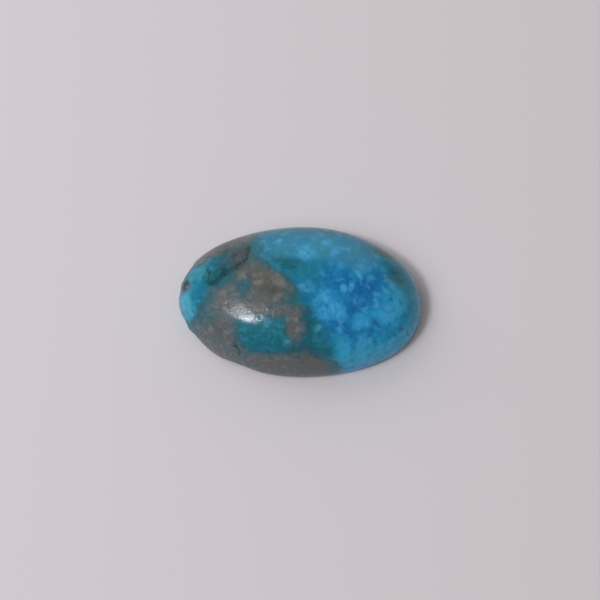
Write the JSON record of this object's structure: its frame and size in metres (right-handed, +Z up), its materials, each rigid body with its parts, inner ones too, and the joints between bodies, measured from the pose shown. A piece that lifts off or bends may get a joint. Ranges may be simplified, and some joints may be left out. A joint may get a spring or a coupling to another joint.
{
  "type": "turquoise cabochon",
  "caption": "Oval turquoise stone with grey-brown host rock, polished to a smooth dome with a chipped tip, and lapped flat on the back to lie on a surface or in a setting.",
  "frame": {"origin": "on the flat back, under the middle of the stone's outline", "axes": "+X along the stone towards its blue end, +Y across it, +Z up through the crown"},
  "size_m": [0.0264, 0.0172, 0.007],
  "materials": {
    "turquoise": "hand-polished dome, matt lapped back"
  },
  "bodies": {
    "root": {"turquoise_stone": "turquoise"}
  },
  "joints": []
}
